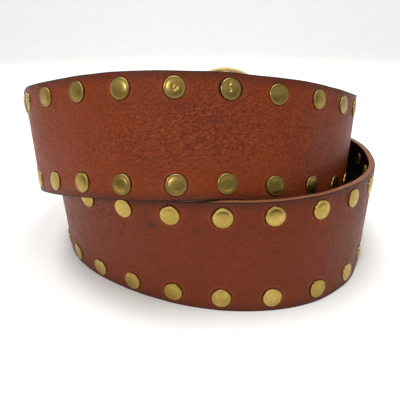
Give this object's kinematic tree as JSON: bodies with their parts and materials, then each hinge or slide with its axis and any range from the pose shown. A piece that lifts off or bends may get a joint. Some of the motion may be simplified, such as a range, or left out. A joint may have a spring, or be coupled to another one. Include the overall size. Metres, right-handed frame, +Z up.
{
  "type": "studded belt",
  "caption": "Wide leather belt with two rows of flat brass cap rivets and a round centre-bar buckle, rolled into a two-turn coil and stood on its edge.",
  "frame": {"origin": "on the floor, under the middle of the coil's overall box", "axes": "+Z up, -Y towards the side with the crossing turns, +Y towards the buckle, +X to the right seen from -Y"},
  "size_m": [0.18, 0.1935, 0.0935],
  "materials": {
    "leather": "satin reddish-brown, lightly pebbled, dark burnished edges",
    "stud_brass": "aged antique brass",
    "buckle_brass": "aged antique brass"
  },
  "bodies": {
    "root": {"buckle_frame": "buckle_brass", "buckle_tongue": "buckle_brass", "strap": "leather", "stud_lower_bottom_1": "stud_brass", "stud_lower_bottom_2": "stud_brass", "stud_lower_bottom_3": "stud_brass", "stud_lower_bottom_4": "stud_brass", "stud_lower_bottom_5": "stud_brass", "stud_lower_bottom_6": "stud_brass", "stud_lower_bottom_7": "stud_brass", "stud_lower_bottom_8": "stud_brass", "stud_lower_bottom_9": "stud_brass", "stud_lower_top_1": "stud_brass", "stud_lower_top_2": "stud_brass", "stud_lower_top_3": "stud_brass", "stud_lower_top_4": "stud_brass", "stud_lower_top_5": "stud_brass", "stud_lower_top_6": "stud_brass", "stud_lower_top_7": "stud_brass", "stud_lower_top_8": "stud_brass", "stud_lower_top_9": "stud_brass", "stud_upper_bottom_1": "stud_brass", "stud_upper_bottom_2": "stud_brass", "stud_upper_bottom_3": "stud_brass", "stud_upper_bottom_4": "stud_brass", "stud_upper_bottom_5": "stud_brass", "stud_upper_bottom_6": "stud_brass", "stud_upper_bottom_7": "stud_brass", "stud_upper_bottom_8": "stud_brass", "stud_upper_bottom_9": "stud_brass", "stud_upper_top_1": "stud_brass", "stud_upper_top_2": "stud_brass", "stud_upper_top_3": "stud_brass", "stud_upper_top_4": "stud_brass", "stud_upper_top_5": "stud_brass", "stud_upper_top_6": "stud_brass", "stud_upper_top_7": "stud_brass", "stud_upper_top_8": "stud_brass", "stud_upper_top_9": "stud_brass"}
  },
  "joints": []
}
